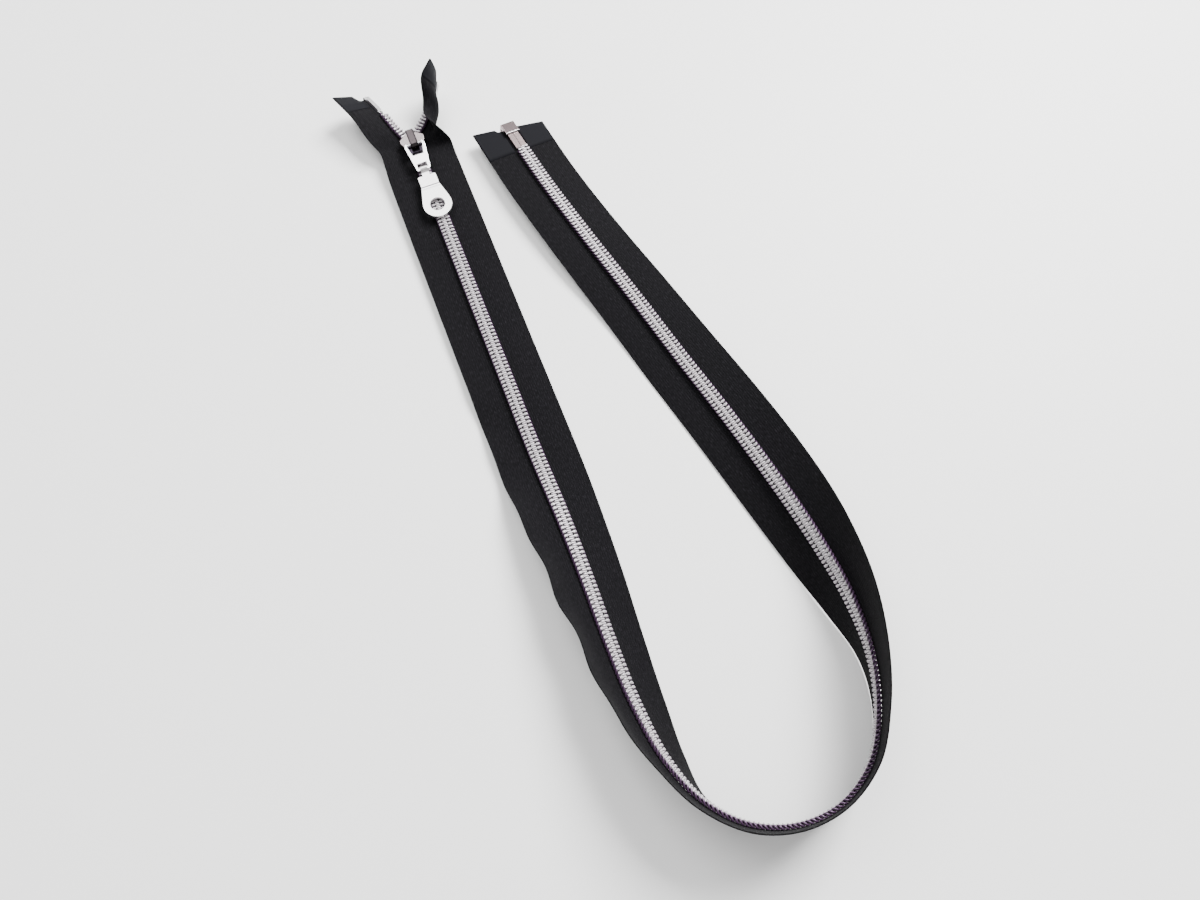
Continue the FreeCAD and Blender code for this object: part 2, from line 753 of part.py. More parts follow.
# ---------------------------------------------------------------- build, check and write
left, right = Ribbon(LEFT), Ribbon(RIGHT)
add_soft_side("left", left)
add_soft_side("right", right)
add_end_clips("left", left, "insertion_pin")
add_end_clips("right", right, "retainer_pin")
add_retainer_box(right)
add_slider_body()
add_crown()
add_lock_leaf()
add_link()
add_pull_tab()
doc.recompute()

for made in doc.Objects:
    if {"Invalid", "Error"} & set(made.State):
        raise RuntimeError(f"{made.Label} did not compute: {made.State}")

os.makedirs("parts", exist_ok=True)
for made in doc.Objects:
    if made.TypeId in ("PartDesign::Body", "Part::Feature"):
        if made.Shape.isNull() or not made.Shape.isValid():
            raise RuntimeError(f"{made.Label} has no valid shape")
        made.Shape.exportStep(f"parts/{made.Label}.step")
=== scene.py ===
import math

import bpy
import numpy as np
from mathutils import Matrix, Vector


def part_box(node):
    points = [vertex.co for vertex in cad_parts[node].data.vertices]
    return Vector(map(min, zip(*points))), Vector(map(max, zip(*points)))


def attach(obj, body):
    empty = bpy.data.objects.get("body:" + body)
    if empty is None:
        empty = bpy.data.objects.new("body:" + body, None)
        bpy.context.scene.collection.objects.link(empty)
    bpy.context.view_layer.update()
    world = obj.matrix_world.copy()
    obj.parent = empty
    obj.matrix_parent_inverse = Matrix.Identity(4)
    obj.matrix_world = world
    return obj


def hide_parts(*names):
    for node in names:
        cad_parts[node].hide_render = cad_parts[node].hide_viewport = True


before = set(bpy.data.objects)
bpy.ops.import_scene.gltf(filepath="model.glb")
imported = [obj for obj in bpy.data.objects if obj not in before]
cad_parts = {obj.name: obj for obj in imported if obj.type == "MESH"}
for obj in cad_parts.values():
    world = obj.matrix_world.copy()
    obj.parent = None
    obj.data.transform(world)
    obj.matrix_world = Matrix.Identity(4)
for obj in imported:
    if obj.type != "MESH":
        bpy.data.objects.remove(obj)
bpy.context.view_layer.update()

MM = 0.001
PITCH = 1.68            # one coil, mm along the chain
TAPE_EDGE, SELVAGE, HALF_TAPE = 1.0, 16.0, 0.25
PIN_LONG, STOP_BACK, STOP_LONG = 12.4, 3.0, 9.0
BOX_SLANT = 0.16
BOX_NICK_DEEP, BOX_NICK_WIDE, BOX_NICK_EASE = 1.3, 6.2, 0.8
FLAT_HEIGHT, TABLE_GAP, EASING = 1.8, 0.5, 11.0
LEFT, RIGHT = -1, 1

# ------------------------------------------------------------------ the route, as in the part
CHAIN = [
    (5, 134, -10, 0, -2), (10, 103, -10, -2, -4), (17, 71, -8, -3, -6), (25, 39, -2, -2, -6),
    (32, 7, 6, 1, -2), (38.5, -23, 14, 4, 0), (44, -53, 26, 7, 3), (48, -83, 45, 12, 8),
    (49, -107, 66, 12, 5), (47, -126, 84, 7, -2), (41, -144, 94, 4, -4), (30, -160, 98, 2, -4),
    (14, -168.5, 98, 1, -4), (-3, -168.5, 94, 0, -3), (-17.5, -162, 88, 1, -1),
    (-28.5, -150, 81, 6, 4), (-34.8, -134, 67, 20, 16), (-37.3, -114, 52, 26, 20),
    (-37.4, -89, 40, 26, 18), (-36.5, -64, 29, 24, 12), (-36, -39, 17, 16, 2),
    (-36, -11, 0, 10, -8), (-36, 21, 0, 8, -9), (-36, 61, 0, 9, -9), (-36, 101, 0, 11, -9),
    (-36, 128, 0, 22, -9), (-36, 135, 0, 32, -7),
]
ENDS = {
    LEFT: [
        (-36.35, 141.2, 1.8, 0, 38), (-37.35, 145.8, 1.8, 4, 36), (-41, 152.5, 2.4, 30, 20),
        (-43.6, 160.5, 3.4, 34, 26), (-48.9, 173.6, 4.4, 32, 32),
    ],
    RIGHT: [
        (-35.65, 141.2, 1.8, 0, 16), (-34.65, 145.8, 1.8, 2, 40), (-29.8, 151, 2.2, 8, 140),
        (-25, 155.6, 2.6, 26, 182), (-20, 160.8, 3.2, 74, 140), (-15.5, 169.2, 4.2, 88, 94),
    ],
}
CURL_AT, CURL_SHARE = [0.0, 5.6, 8.0, 11.0, 16.0], [0.0, 0.0, 0.45, 0.85, 1.0]
WIDTHS = np.linspace(0.0, 16.4, 42)


def drop(rise, tape_rise):
    """How far a tape's selvage is above the chain's height, as the part measures it."""
    up = 0.0
    for w0, w1, f0, f1 in zip(CURL_AT, CURL_AT[1:], CURL_SHARE, CURL_SHARE[1:]):
        up += (w1 - w0) * math.sin(math.radians(rise + (tape_rise - rise) * (f0 + f1) / 2))
    return up


def side_stations(side):
    rows = []
    for x, y, roll, left_curl, right_curl in CHAIN:
        low = min(drop(-roll, right_curl - roll), drop(roll, roll + left_curl))
        z = max(FLAT_HEIGHT, TABLE_GAP - low)
        curl = left_curl if side == LEFT else right_curl
        rows.append((x, y, z, -side * roll, -side * roll + curl))
    return np.array(rows + ENDS[side], float)


class Ribbon:
    """One side of the zipper: turns (along, width, height) in mm into places in metres."""

    def __init__(self, side, steps=16):
        self.side = side
        rows = side_stations(side)
        at = np.r_[0, np.cumsum(np.linalg.norm(np.diff(rows[:, :3], axis=0), axis=1))]
        chord = np.diff(rows, axis=0) / np.diff(at)[:, None]
        slope = np.empty_like(rows)
        slope[0], slope[-1] = chord[0], chord[-1]
        share = (np.diff(at)[:-1] / (at[2:] - at[:-2]))[:, None]
        slope[1:-1] = chord[:-1] * (1 - share) + chord[1:] * share
        t = np.arange(steps)[:, None] / steps
        found, travel = [], []
        for i in range(len(rows) - 1):
            long = at[i + 1] - at[i]
            a, b, m, n = rows[i], rows[i + 1], slope[i] * long, slope[i + 1] * long
            found.append(a * (2 * t**3 - 3 * t**2 + 1) + b * (3 * t**2 - 2 * t**3)
                         + m * (t**3 - 2 * t**2 + t) + n * (t**3 - t**2))
            travel.append(((b - a) * (6 * t - 6 * t * t) + m * (3 * t * t - 4 * t + 1)
                           + n * (3 * t * t - 2 * t))[:, :3])
        self.rows = np.vstack([*found, rows[-1:]])
        travel = np.vstack([*travel, slope[-1:, :3]])
        travel /= np.linalg.norm(travel, axis=1)[:, None]
        self.at = np.r_[0, np.cumsum(np.linalg.norm(np.diff(self.rows[:, :3], axis=0), axis=1))]
        self.long = self.at[-1]
        gaps = np.gradient(self.at)
        weight = np.clip(1 - np.abs(self.at[:, None] - self.at[None, :]) / EASING, 0, 1) * gaps
        self.travel = weight @ travel
        self.travel /= np.linalg.norm(self.travel, axis=1)[:, None]

    def place(self, along, width, height):
        along, width, height = (np.asarray(v, float) for v in (along, width, height))
        along, width, height = np.broadcast_arrays(along, width, height)
        flat = np.clip(along, 0, self.long)
        row = [np.interp(flat, self.at, self.rows[:, k]) for k in range(5)]
        T = np.stack([np.interp(flat, self.at, self.travel[:, k]) for k in range(3)], -1)
        T /= np.linalg.norm(T, axis=-1)[..., None]
        H = np.stack([T[..., 1], -T[..., 0], np.zeros_like(flat)], -1) * self.side
        H /= np.linalg.norm(H, axis=-1)[..., None]
        U = np.cross(H, T) * self.side
        rise, tape = np.radians(row[3]), np.radians(row[4])
        middle = (WIDTHS[1:] + WIDTHS[:-1]) / 2
        share = np.interp(middle, CURL_AT, CURL_SHARE)
        slope = rise[..., None] + (tape - rise)[..., None] * share
        part = np.clip(width[..., None] - WIDTHS[:-1], 0, np.diff(WIDTHS))
        out = (part * np.cos(slope)).sum(-1) + np.minimum(width, 0) * np.cos(rise)
        up = (part * np.sin(slope)).sum(-1) + np.minimum(width, 0) * np.sin(rise)
        here = rise + (tape - rise) * np.interp(width, CURL_AT, CURL_SHARE)
        out -= height * np.sin(here)
        up += height * np.cos(here)
        P = np.stack(row[:3], -1) + H * out[..., None] + U * up[..., None]
        return (P + T * (along - flat)[..., None]) * MM


ribbons = {side: Ribbon(side) for side in (LEFT, RIGHT)}
NAMES = {LEFT: "left", RIGHT: "right"}

BAR_INSIDE = 0.9                       # from the link's upper end to its bar in the crown
HOOK_OUTER, GRIP_FAR = 1.4, 8.9        # the tab's loop, and its bar to the grip's lower edge
crown_low, crown_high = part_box("slider_crown")
SLIDER_X = (crown_low[0] + crown_high[0]) / 2 / MM
BAR_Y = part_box("puller_link")[1][1] / MM - BAR_INSIDE
TAB_STEP_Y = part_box("pull_tab")[1][1] / MM - HOOK_OUTER - GRIP_FAR


# ------------------------------------------------------------------ shader helpers
MIX_FIRST, MIX_SECOND, MIX_RESULT = 6, 7, 2     # the Mix node's colour sockets


def material(name):
    made = bpy.data.materials.new(name)
    made.use_nodes = True
    return made, made.node_tree.nodes, made.node_tree.links, made.node_tree.nodes["Principled BSDF"]


def set_inputs(node, **values):
    for key, value in values.items():
        node.inputs[key.replace("_", " ")].default_value = value


def math_node(nodes, links, kind, a, b=None, c=None):
    node = nodes.new("ShaderNodeMath")
    node.operation = kind
    for k, value in enumerate((a, b, c)):
        if value is None:
            continue
        if isinstance(value, (int, float)):
            node.inputs[k].default_value = value
        else:
            links.new(value, node.inputs[k])
    return node.outputs[0]


def clamped(nodes, links, value):
    """Hold a value between 0 and 1."""
    return math_node(nodes, links, "MINIMUM", math_node(nodes, links, "MAXIMUM", value, 0.0), 1.0)


def mix_colour(nodes, links, share, first, second):
    """Blend from first to second; each is an (r, g, b) or another node's output."""
    node = nodes.new("ShaderNodeMix")
    node.data_type = "RGBA"
    links.new(share, node.inputs[0])
    for socket, colour in ((node.inputs[MIX_FIRST], first), (node.inputs[MIX_SECOND], second)):
        if isinstance(colour, tuple):
            socket.default_value = (*colour, 1)
        else:
            links.new(colour, socket)
    return node.outputs[MIX_RESULT]


def uv_mm(nodes, links):
    """The whole uv, then its two parts, in mm unless the piece says otherwise."""
    uv = nodes.new("ShaderNodeUVMap")
    uv.uv_map = "UVMap"
    split = nodes.new("ShaderNodeSeparateXYZ")
    links.new(uv.outputs[0], split.inputs[0])
    return uv.outputs[0], split.outputs[0], split.outputs[1]


def noise(nodes, scale, detail=3.0, vector=None, links=None):
    node = nodes.new("ShaderNodeTexNoise")
    set_inputs(node, Scale=scale, Detail=detail)
    if vector is not None:
        links.new(vector, node.inputs["Vector"])
    return node.outputs["Fac"]


def bump(nodes, links, height, strength, distance, normal=None):
    node = nodes.new("ShaderNodeBump")
    set_inputs(node, Strength=strength, Distance=distance)
    links.new(height, node.inputs["Height"])
    if normal is not None:
        links.new(normal, node.inputs["Normal"])
    return node.outputs[0]


def ramp(nodes, links, fac, stops):
    node = nodes.new("ShaderNodeValToRGB")
    elements = node.color_ramp.elements
    for element, (at, colour) in ((elements[0], stops[0]), (elements[1], stops[-1])):
        element.position, element.color = at, (*colour, 1)
    for at, colour in stops[1:-1]:
        elements.new(at).color = (*colour, 1)
    links.new(fac, node.inputs[0])
    return node.outputs[0]


RIB_PITCH, PICK_PITCH = 0.9, 0.62               # mm
HERRINGBONE_HALF, PICK_LEAN = 1.35, 0.9


def woven_tape():
    """Black tape: lengthwise ribs crossed by a herringbone of picks, with paler flecks of yarn."""
    made, nodes, links, bsdf = material("woven_tape")
    uv, w, s = uv_mm(nodes, links)
    turn = 2 * math.pi
    rib_turns = math_node(nodes, links, "MULTIPLY", w, turn / RIB_PITCH)
    ribs = math_node(nodes, links, "SINE", rib_turns)
    zig = math_node(nodes, links, "PINGPONG", w, HERRINGBONE_HALF)
    lean = math_node(nodes, links, "MULTIPLY_ADD", zig, PICK_LEAN, s)
    pick_turns = math_node(nodes, links, "MULTIPLY", lean, turn / PICK_PITCH)
    picks = math_node(nodes, links, "SINE", pick_turns)
    weave = math_node(nodes, links, "MULTIPLY_ADD", ribs, 0.5, picks)
    yarn = nodes.new("ShaderNodeMapping")
    yarn.inputs["Scale"].default_value = (2.2, 0.35, 1.0)
    links.new(uv, yarn.inputs["Vector"])
    flecks = noise(nodes, 1.6, 5.0, yarn.outputs[0], links)
    height = math_node(nodes, links, "MULTIPLY_ADD", noise(nodes, 900.0, 4.0), 1.2, weave)
    links.new(bump(nodes, links, height, 0.6, 0.00008), bsdf.inputs["Normal"])
    tone = math_node(nodes, links, "MULTIPLY_ADD", flecks, 1.1, -0.05)
    level = math_node(nodes, links, "MULTIPLY_ADD", weave, 0.12, tone)
    black = ramp(nodes, links, level, [
        (0.25, (0.0010, 0.0009, 0.0013)),
        (0.60, (0.0040, 0.0037, 0.0047)),
        (0.85, (0.0170, 0.0155, 0.0190)),
    ])
    links.new(black, bsdf.inputs["Base Color"])
    set_inputs(bsdf, Roughness=0.9, Sheen_Weight=0.02, Sheen_Roughness=0.5, Specular_IOR_Level=0.09)
    return made


SILVER_LEAN, SILVER_FROM = -0.45, 0.5
DARK_NYLON = (0.060, 0.030, 0.066)


def coil_filament():
    """Dark nylon with silver on the front of the loops; the uv holds width and height in mm."""
    made, nodes, links, bsdf = material("coil")
    _, w, n = uv_mm(nodes, links)
    mottle = noise(nodes, 900.0, 3.0)
    silver = ramp(nodes, links, mottle, [(0.3, (0.40, 0.37, 0.39)), (0.7, (0.66, 0.62, 0.65))])
    edge = math_node(nodes, links, "MULTIPLY_ADD", w, SILVER_LEAN, n)
    ragged = math_node(nodes, links, "MULTIPLY_ADD", noise(nodes, 1400.0, 2.0), 0.3, edge)
    front = ramp(nodes, links, math_node(nodes, links, "SUBTRACT", ragged, SILVER_FROM),
                 [(0.50, (0, 0, 0)), (0.95, (1, 1, 1))])
    links.new(mix_colour(nodes, links, front, DARK_NYLON, silver), bsdf.inputs["Base Color"])
    set_inputs(bsdf, Metallic=0.35, Roughness=0.34)
    links.new(bump(nodes, links, noise(nodes, 2500.0, 2.0), 0.12, 0.00005), bsdf.inputs["Normal"])
    return made


def thread(name, dark, light, strand=0.25):
    """Two-ply thread: a twist wound round the strand, one turn in each strand mm of its length."""
    made, nodes, links, bsdf = material(name)
    _, around, s = uv_mm(nodes, links)
    turns = math_node(nodes, links, "DIVIDE", s, strand)
    lean = math_node(nodes, links, "MULTIPLY_ADD", around, 1.0, turns)
    twist = math_node(nodes, links, "SINE", math_node(nodes, links, "MULTIPLY", lean, 2 * math.pi))
    level = math_node(nodes, links, "MULTIPLY_ADD", twist, 0.4, 0.5)
    links.new(ramp(nodes, links, level, [(0.1, dark), (0.9, light)]), bsdf.inputs["Base Color"])
    links.new(bump(nodes, links, twist, 0.6, 0.00005), bsdf.inputs["Normal"])
    set_inputs(bsdf, Roughness=0.7, Sheen_Weight=0.15)
    return made


def end_film():
    """Film pressed on to the tape: almost as dark as the cloth, a little bluer, with a fine dimple."""
    made, nodes, links, bsdf = material("end_film")
    mottle = noise(nodes, 260.0, 4.0)
    tone = ramp(nodes, links, mottle, [(0.3, (0.002, 0.002, 0.003)), (0.75, (0.0045, 0.0045, 0.007))])
    links.new(tone, bsdf.inputs["Base Color"])
    links.new(bump(nodes, links, noise(nodes, 1200.0, 3.0), 0.2, 0.00008), bsdf.inputs["Normal"])
    set_inputs(bsdf, Roughness=0.8, Specular_IOR_Level=0.12)
    return made


def plated(name, colour, rough, painted_light=None, painted_colour=None):
    """Polished plate with faint smears and fine scratches.

    painted_light(nodes, links) gives how much of painted_colour shows: a darker one paints shade, a
    brighter one paints a highlight.
    """
    made, nodes, links, bsdf = material(name)
    smear = noise(nodes, 240.0, 5.0)
    tone = ramp(nodes, links, smear, [(0.25, [c * 0.86 for c in colour]), (0.7, colour)])
    if painted_light is not None:
        tone = mix_colour(nodes, links, painted_light(nodes, links), tone, painted_colour)
    links.new(tone, bsdf.inputs["Base Color"])
    spots = math_node(nodes, links, "MULTIPLY_ADD", noise(nodes, 900.0, 4.0), 0.16, rough - 0.08)
    links.new(spots, bsdf.inputs["Roughness"])
    set_inputs(bsdf, Metallic=1.0)
    links.new(bump(nodes, links, noise(nodes, 1500.0, 3.0), 0.06, 0.00006), bsdf.inputs["Normal"])
    return made


def rest_place(nodes, links):
    """Where a point of the piece is at rest, in mm; the pieces keep these while they move."""
    split = nodes.new("ShaderNodeSeparateXYZ")
    links.new(nodes.new("ShaderNodeTexCoord").outputs["Object"], split.inputs[0])
    return [math_node(nodes, links, "MULTIPLY", axis, 1 / MM) for axis in split.outputs]


def away_from(nodes, links, axis, at):
    """Distance from a place along one axis, in mm."""
    return math_node(nodes, links, "ABSOLUTE", math_node(nodes, links, "ADD", axis, -at))


RECESS_HALF_WIDE, RECESS_PAST_BAR = 3.7, 1.0
FLANK_STEEP, FLANK_START = 1.6, -1.45
STEP_LINE_HALF, SECOND_LINE_HALF, LINE_GAP = 0.17, 0.08, 1.1
UP_THE_CHAIN = (0.16, -0.99, 0.0)


def recess_painted_shade(nodes, links):
    """Painted shade on the slider's roof round the foot of the crown."""
    x, y, _ = rest_place(nodes, links)
    aside = away_from(nodes, links, x, SLIDER_X)
    inside = math_node(nodes, links, "LESS_THAN", aside, RECESS_HALF_WIDE)
    behind = math_node(nodes, links, "LESS_THAN", y, BAR_Y + RECESS_PAST_BAR)
    return math_node(nodes, links, "MULTIPLY", inside, behind)


def crown_flank_painted_shade(nodes, links):
    """Painted shade on the two long edges of the crown, darker than the middle of its top."""
    x, _, _ = rest_place(nodes, links)
    aside = away_from(nodes, links, x, SLIDER_X)
    edge = math_node(nodes, links, "MULTIPLY_ADD", aside, FLANK_STEEP, FLANK_START)
    return clamped(nodes, links, edge)


def tab_painted_step_shade(nodes, links):
    """Two fine dark lines of painted shade across the tab, one at the step below its grip and one a little
    below it.
    """
    _, y, _ = rest_place(nodes, links)
    marks = []
    for at, half in ((TAB_STEP_Y, STEP_LINE_HALF), (TAB_STEP_Y - LINE_GAP, SECOND_LINE_HALF)):
        marks.append(math_node(nodes, links, "LESS_THAN", away_from(nodes, links, y, at), half))
    return math_node(nodes, links, "MAXIMUM", *marks)


def painted_highlight_up_chain(nodes, links):
    """Painted highlight: faces and edges of the box that look up the chain are painted bright."""
    shape = nodes.new("ShaderNodeVectorMath")
    shape.operation = "DOT_PRODUCT"
    links.new(nodes.new("ShaderNodeNewGeometry").outputs["Normal"], shape.inputs[0])
    shape.inputs[1].default_value = UP_THE_CHAIN
    return clamped(nodes, links, math_node(nodes, links, "MULTIPLY_ADD", shape.outputs["Value"], 3.0, -0.5))


MATERIALS = {
    "woven_tape": woven_tape(),
    "coil": coil_filament(),
    "core_cord": thread("core_cord", (0.008, 0.007, 0.010), (0.03, 0.028, 0.034), 0.8),
    "sewing_thread": thread("sewing_thread", (0.02, 0.018, 0.022), (0.11, 0.10, 0.11)),
    "end_film": end_film(),
    "end_metal": plated("end_metal", (0.42, 0.33, 0.33), 0.24),
    "stop_metal": plated("stop_metal", (0.93, 0.92, 0.93), 0.3),
    # the box gets a painted highlight on its faces that look up the chain
    "box": plated("box", (0.30, 0.245, 0.25), 0.2, painted_highlight_up_chain, (0.97, 0.96, 0.96)),
    # painted shade darkens the slider's roof round the foot of the crown
    "slider_metal": plated("slider_metal", (0.27, 0.235, 0.24), 0.24, recess_painted_shade, (0.03, 0.025, 0.034)),
    # the crown's plate is set far darker than the body's, painted shade for the dark it reflects; its
    # flanks get more painted shade
    "crown_metal": plated("crown_metal", (0.062, 0.053, 0.056), 0.16, crown_flank_painted_shade, (0.02, 0.017, 0.02)),
    "spring_steel": plated("spring_steel", (0.5, 0.5, 0.51), 0.35),
    "puller_metal": plated("puller_metal", (0.95, 0.94, 0.95), 0.2),
    # painted shade lines across the tab at the grip's step
    "tab_metal": plated("tab_metal", (0.93, 0.92, 0.92), 0.3, tab_painted_step_shade, (0.16, 0.14, 0.17)),
}


# ------------------------------------------------------------------ mesh helpers
def mesh_object(name, verts, faces, uvs=None, smooth=True):
    """Faces may be a mix of triangles and quads; uvs is one pair for each corner of each face."""
    mesh = bpy.data.meshes.new(name)
    mesh.from_pydata([tuple(v) for v in verts], [], [tuple(f) for f in faces])
    if uvs is not None:
        uv_layer = mesh.uv_layers.new(name="UVMap")
        uv_layer.data.foreach_set("uv", np.asarray(uvs, np.float32).ravel())
    mesh.polygons.foreach_set("use_smooth", [smooth] * len(mesh.polygons))
    mesh.update()
    made = bpy.data.objects.new(name, mesh)
    bpy.context.collection.objects.link(made)
    return made


def finish_piece(made, body, slot, *nodes):
    made.data.materials.append(MATERIALS[slot])
    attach(made, body)
    if nodes:
        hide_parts(*nodes)
    return made


def skin(grids, uv_grids):
    """A closed mesh from rings: grids is rings x ring points; the two ends are capped."""
    rings, count = grids.shape[0], grids.shape[1]
    index = np.arange(rings * count).reshape(rings, count)
    a, b = index[:-1], index[1:]
    quads = np.stack([a, np.roll(a, -1, 1), np.roll(b, -1, 1), b], -1).reshape(-1, 4)
    flat = uv_grids.reshape(-1, 2)
    faces = [tuple(q) for q in quads]
    uvs = list(flat[quads].reshape(-1, 2))
    for ring, turn in ((index[0], -1), (index[-1], 1)):
        half = count // 2
        for k in range(half - 1):
            cap = (ring[k], ring[k + 1], ring[count - 2 - k], ring[count - 1 - k])[::turn]
            faces.append(cap)
            uvs.extend(flat[list(cap)])
    return grids.reshape(-1, 3), faces, uvs


END_CLEAR = 0.8         # mm between a strip's cut end and its first or last straight row
ANY_DIRECTION = (0.31, 0.47, 0.83)      # no bar starts along it


def layer(ribbon, name, rows, widths, low, high, start, end, lift=None):
    """A strip between two heights; start and end give each width's own end points.

    lift(along, width) raises both faces, as a ripple in the cloth does.
    """
    begin, stop = start(widths), end(widths)
    inner = np.arange(begin.max() + END_CLEAR, stop.min() - END_CLEAR, rows)
    along = np.vstack([begin, *[np.full_like(widths, s) for s in inner], stop])
    ring_w = np.r_[widths, widths[::-1]]
    ring_n = np.r_[low(widths), high(widths)[::-1]]
    ring_s = np.hstack([along, along[:, ::-1]])
    if lift is not None:
        ring_n = ring_n + lift(ring_s, ring_w)
    grids = ribbon.place(ring_s, ring_w, ring_n)
    uv = np.stack(np.broadcast_arrays(ring_w, ring_s), -1)
    return mesh_object(name, *skin(grids, uv))


def rods(ribbon, paths, radius, sides, stretch=None, uv_of=None):
    """Round bars along lists of (along, width, height) points, as one mesh laid on the ribbon.

    stretch(width) widens a bar along the chain, and uv_of(points) replaces the usual uv, which
    is the turn round the bar and the length along it in mm.
    """
    verts, faces, uvs = [], [], []
    angles = np.arange(sides) / sides * 2 * math.pi
    for path in paths:
        tangent = np.gradient(path, axis=0)
        tangent /= np.linalg.norm(tangent, axis=1)[:, None]
        normal = np.zeros_like(path)
        first = np.cross(tangent[0], ANY_DIRECTION)
        normal[0] = first / np.linalg.norm(first)
        for k in range(1, len(path)):
            moved = normal[k - 1] - tangent[k] * np.dot(normal[k - 1], tangent[k])
            normal[k] = moved / np.linalg.norm(moved)
        side = np.cross(tangent, normal)
        offset = radius * (np.cos(angles)[None, :, None] * normal[:, None, :]
                           + np.sin(angles)[None, :, None] * side[:, None, :])
        if stretch is not None:
            offset[..., 0] *= stretch(path[:, 1])[:, None]
        ring = path[:, None, :] + offset
        long = np.r_[0, np.cumsum(np.linalg.norm(np.diff(path, axis=0), axis=1))]
        if uv_of is None:
            uv = np.stack(np.broadcast_arrays(angles[None, :] / (2 * math.pi), long[:, None]), -1)
        else:
            uv = uv_of(ring)
        base = sum(len(v) for v in verts)
        v, f, u = skin(ring, uv)
        verts.append(ribbon.place(v[:, 0], v[:, 1], v[:, 2]))
        faces.extend(tuple(i + base for i in face) for face in f)
        uvs.extend(u)
    return np.vstack(verts), faces, uvs


# ------------------------------------------------------------------ tapes
def box_end(side):
    """Where each width of a tape starts at the box end: a slanted cut, nicked beside the box."""
    def start(w):
        cut = -side * BOX_SLANT * w
        if side == RIGHT:
            cut = cut + BOX_NICK_DEEP * np.clip((BOX_NICK_WIDE - w) / BOX_NICK_EASE, 0, 1)
        return cut
    return start


def open_end(side):
    """Where each width ends at the open end: straight, with a nick and a nub by the chain."""
    long = ribbons[side].long
    corner = -1.6 if side == LEFT else 0.6
    wide = [0.0, 1.0, 1.5, 2.1, 3.0, 4.4, 5.4, 6.6, SELVAGE]
    back = [2.0, 1.9, 1.6, 2.6, 3.4, 3.6, 3.0, 0.0, corner]
    return lambda w: long - np.interp(w, wide, back)


RIPPLE_HIGH, RIPPLE_LONG, RIPPLE_AT, RIPPLE_SPREAD = 0.8, 27.0, 478.0, 80.0
RIPPLE_FROM, SLOW_RIPPLE_LONG, SLOW_RIPPLE_SHARE = 6.0, 43.0, 0.4
TAPE_ROW, EDGE_CORD_AT, EDGE_CORD_HALF = 1.4, 14.6, 0.35
FILM_LOW, FILM_HIGH = HALF_TAPE + 0.02, HALF_TAPE + 0.10
BOTTOM_FILM_LONG, TOP_FILM_LONG = 13.5, 8.6
FILM_WIDTHS = np.linspace(3.6, 15.8, 30)


def ripple(along, width):
    """Waves in the free edge of the outer tape, along the leg that leads up to the slider."""
    reach = np.clip((width - RIPPLE_FROM) / (SELVAGE - RIPPLE_FROM), 0, 1) ** 1.5
    window = np.exp(-((along - RIPPLE_AT) / RIPPLE_SPREAD) ** 4)
    slow = np.sin(2 * math.pi * along / SLOW_RIPPLE_LONG + 1.0)
    wave = np.sin(2 * math.pi * along / RIPPLE_LONG) + SLOW_RIPPLE_SHARE * slow
    return RIPPLE_HIGH * reach * window * wave


tape_widths = np.r_[np.linspace(TAPE_EDGE, 6.8, 16), np.linspace(7.3, 15.4, 18), 15.7, 15.9, SELVAGE]


def tape_low(w):
    """The tape's back face: thinner along a woven line by the selvage, and at both edges."""
    thick = HALF_TAPE * (1 - 0.35 * np.exp(-((w - EDGE_CORD_AT) / EDGE_CORD_HALF) ** 2))
    return -thick * np.where(w > 15.85, 0.6, 1) * np.where(w < 1.05, 0.6, 1)


def flat_at(value):
    """The same height, or the same place along the tape, for every width."""
    return lambda w: np.full_like(w, value)


def add_tape(side, ribbon):
    tape = layer(ribbon, f"{NAMES[side]}_woven_tape", TAPE_ROW, tape_widths, tape_low,
                 lambda w: -tape_low(w), box_end(side), open_end(side),
                 ripple if side == LEFT else None)
    finish_piece(tape, "zipper", "woven_tape", f"{NAMES[side]}_tape")


def add_films(side, ribbon):
    """Stiff films on both faces at both ends; the CAD's one film each end is the front one."""
    for where, start, end in (
        ("bottom", box_end(side), flat_at(BOTTOM_FILM_LONG)),
        ("top", flat_at(ribbon.long - TOP_FILM_LONG), open_end(side)),
    ):
        for face, sign in (("front", 1), ("back", -1)):
            low, high = sorted((sign * FILM_LOW, sign * FILM_HIGH))
            film = layer(ribbon, f"{NAMES[side]}_{where}_{face}_film", TAPE_ROW, FILM_WIDTHS,
                         flat_at(low), flat_at(high), start, end)
            nodes = [f"{NAMES[side]}_{where}_film"] if face == "front" else []
            finish_piece(film, "zipper", "end_film", *nodes)


for side, ribbon in ribbons.items():
    add_tape(side, ribbon)
    add_films(side, ribbon)

# ------------------------------------------------------------------ coils, cords and threads
FILAMENT = 0.36         # radius of the filament, mm
LOOP_TOP, LOOP_BASE = 1.93, 0.72
HEAD, OUTER_BEND = -0.42, 2.38


def coil_loop():
    """(along, width, height) of one loop: over the top, round the head, back, and on."""
    middle, reach = (LOOP_TOP + LOOP_BASE) / 2, (LOOP_TOP - LOOP_BASE) / 2
    points = [(0.0, w, LOOP_TOP + 0.03 * math.sin(w)) for w in np.linspace(OUTER_BEND, HEAD, 8)]
    for a in np.radians(np.linspace(0, 180, 6)[1:-1]):
        points.append((0.0, HEAD - 0.22 * math.sin(a), middle + reach * math.cos(a)))
    points += [(0.1 * t, HEAD + (OUTER_BEND - HEAD) * t, LOOP_BASE) for t in np.linspace(0, 1, 5)]
    for t in np.linspace(0, 1, 8)[1:-1]:
        a = math.pi * t
        points.append((0.1 + (PITCH - 0.1) * t, OUTER_BEND + 0.32 * math.sin(a),
                       middle - reach * math.cos(a)))
    return np.array(points)


LOOP = coil_loop()


